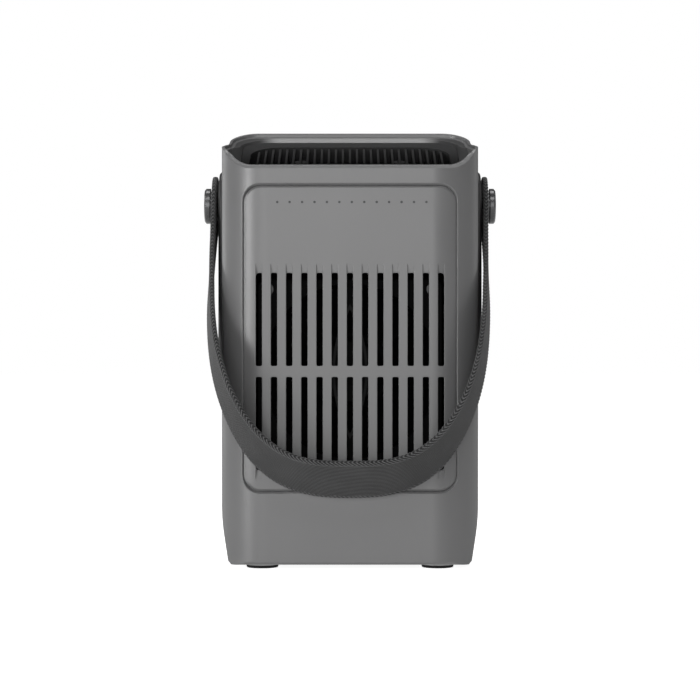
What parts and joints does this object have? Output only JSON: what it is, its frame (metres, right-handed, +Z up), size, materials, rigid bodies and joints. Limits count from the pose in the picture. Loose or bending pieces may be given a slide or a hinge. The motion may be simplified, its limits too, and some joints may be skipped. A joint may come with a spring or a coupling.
{
  "type": "box fan",
  "caption": "Upright battery box fan with a slotted front, a sloping finned top vent and a swinging webbing carry strap.",
  "frame": {"origin": "on the ground under the middle of the whole fan, its strap and dial included", "axes": "+Z up; the slotted front faces -Y; +X is to the right seen from the front"},
  "size_m": [0.152, 0.1352, 0.229],
  "materials": {
    "case_plastic": "fine grain moulded grey",
    "vent_plastic": "dark grey moulded",
    "plate_plastic": "charcoal, fine grain",
    "black_plastic": "black moulded",
    "webbing": "black ribbed webbing",
    "dark_metal": "dark satin coating",
    "steel": "bright steel",
    "seat_plastic": "light grey",
    "foot_rubber": "matte black",
    "copper": "enamelled copper wire",
    "magnet": "sintered magnet",
    "cell_wrap": "wrapped cell",
    "circuit": "green circuit board",
    "chip": "black component",
    "lead_skin": "insulated lead"
  },
  "bodies": {
    "case": {"shell": "case_plastic", "base_plate": "case_plastic", "front_panel": "case_plastic", "rear_panel": "case_plastic", "rear_screws": "steel", "rim_funnel": "case_plastic", "top_vent": "vent_plastic", "foot_seats": "seat_plastic", "foot_fl": "foot_rubber", "foot_fr": "foot_rubber", "foot_bl": "foot_rubber", "foot_br": "foot_rubber", "fan_frame": "black_plastic", "fan_screws": "steel", "spider": "black_plastic", "bearing_tube": "black_plastic", "bearing_front": "steel", "bearing_rear": "steel", "stator": "steel", "coils": "copper", "motor_board": "circuit", "battery_cells": "cell_wrap", "battery_tray": "black_plastic", "control_board": "circuit", "board_parts": "chip", "board_posts": "black_plastic", "power_inlet": "steel", "dial_base": "black_plastic", "switch_base": "black_plastic", "leads": "lead_skin", "side_plate_l": "plate_plastic", "side_plate_r": "plate_plastic", "pivot_bush_l": "black_plastic", "pivot_bush_r": "black_plastic", "pivot_knob_l": "dark_metal", "pivot_knob_r": "dark_metal", "pivot_nut_l": "steel", "pivot_nut_r": "steel"},
    "rotor": {"rotor_cup": "steel", "magnet_ring": "magnet", "fan_shaft": "steel", "impeller": "black_plastic"},
    "strap": {"webbing": "webbing", "eyelet_l": "dark_metal", "eyelet_r": "dark_metal"},
    "dial": {"speed_dial": "black_plastic"},
    "button": {"power_button": "black_plastic"}
  },
  "joints": [
    {"name": "strap_swing", "type": "hinge", "parent": "case", "child": "strap", "pos_m": [0, 0.0116, 0.1854], "axis": [-1, 0, 0], "range_deg": [0, 270]},
    {"name": "fan_spin", "type": "hinge", "parent": "case", "child": "rotor", "pos_m": [0, -0.0204, 0.0992], "axis": [0, 1, 0], "continuous": true},
    {"name": "dial_turn", "type": "hinge", "parent": "case", "child": "dial", "pos_m": [0.028, 0.0616, 0.171], "axis": [0, -1, 0], "range_deg": [0, 270]},
    {"name": "button_press", "type": "slide", "parent": "case", "child": "button", "axis": [0, -1, 0], "range_m": [0, 0.0015], "stiffness_N_per_m": 1000, "springref_m": -0.001}
  ]
}
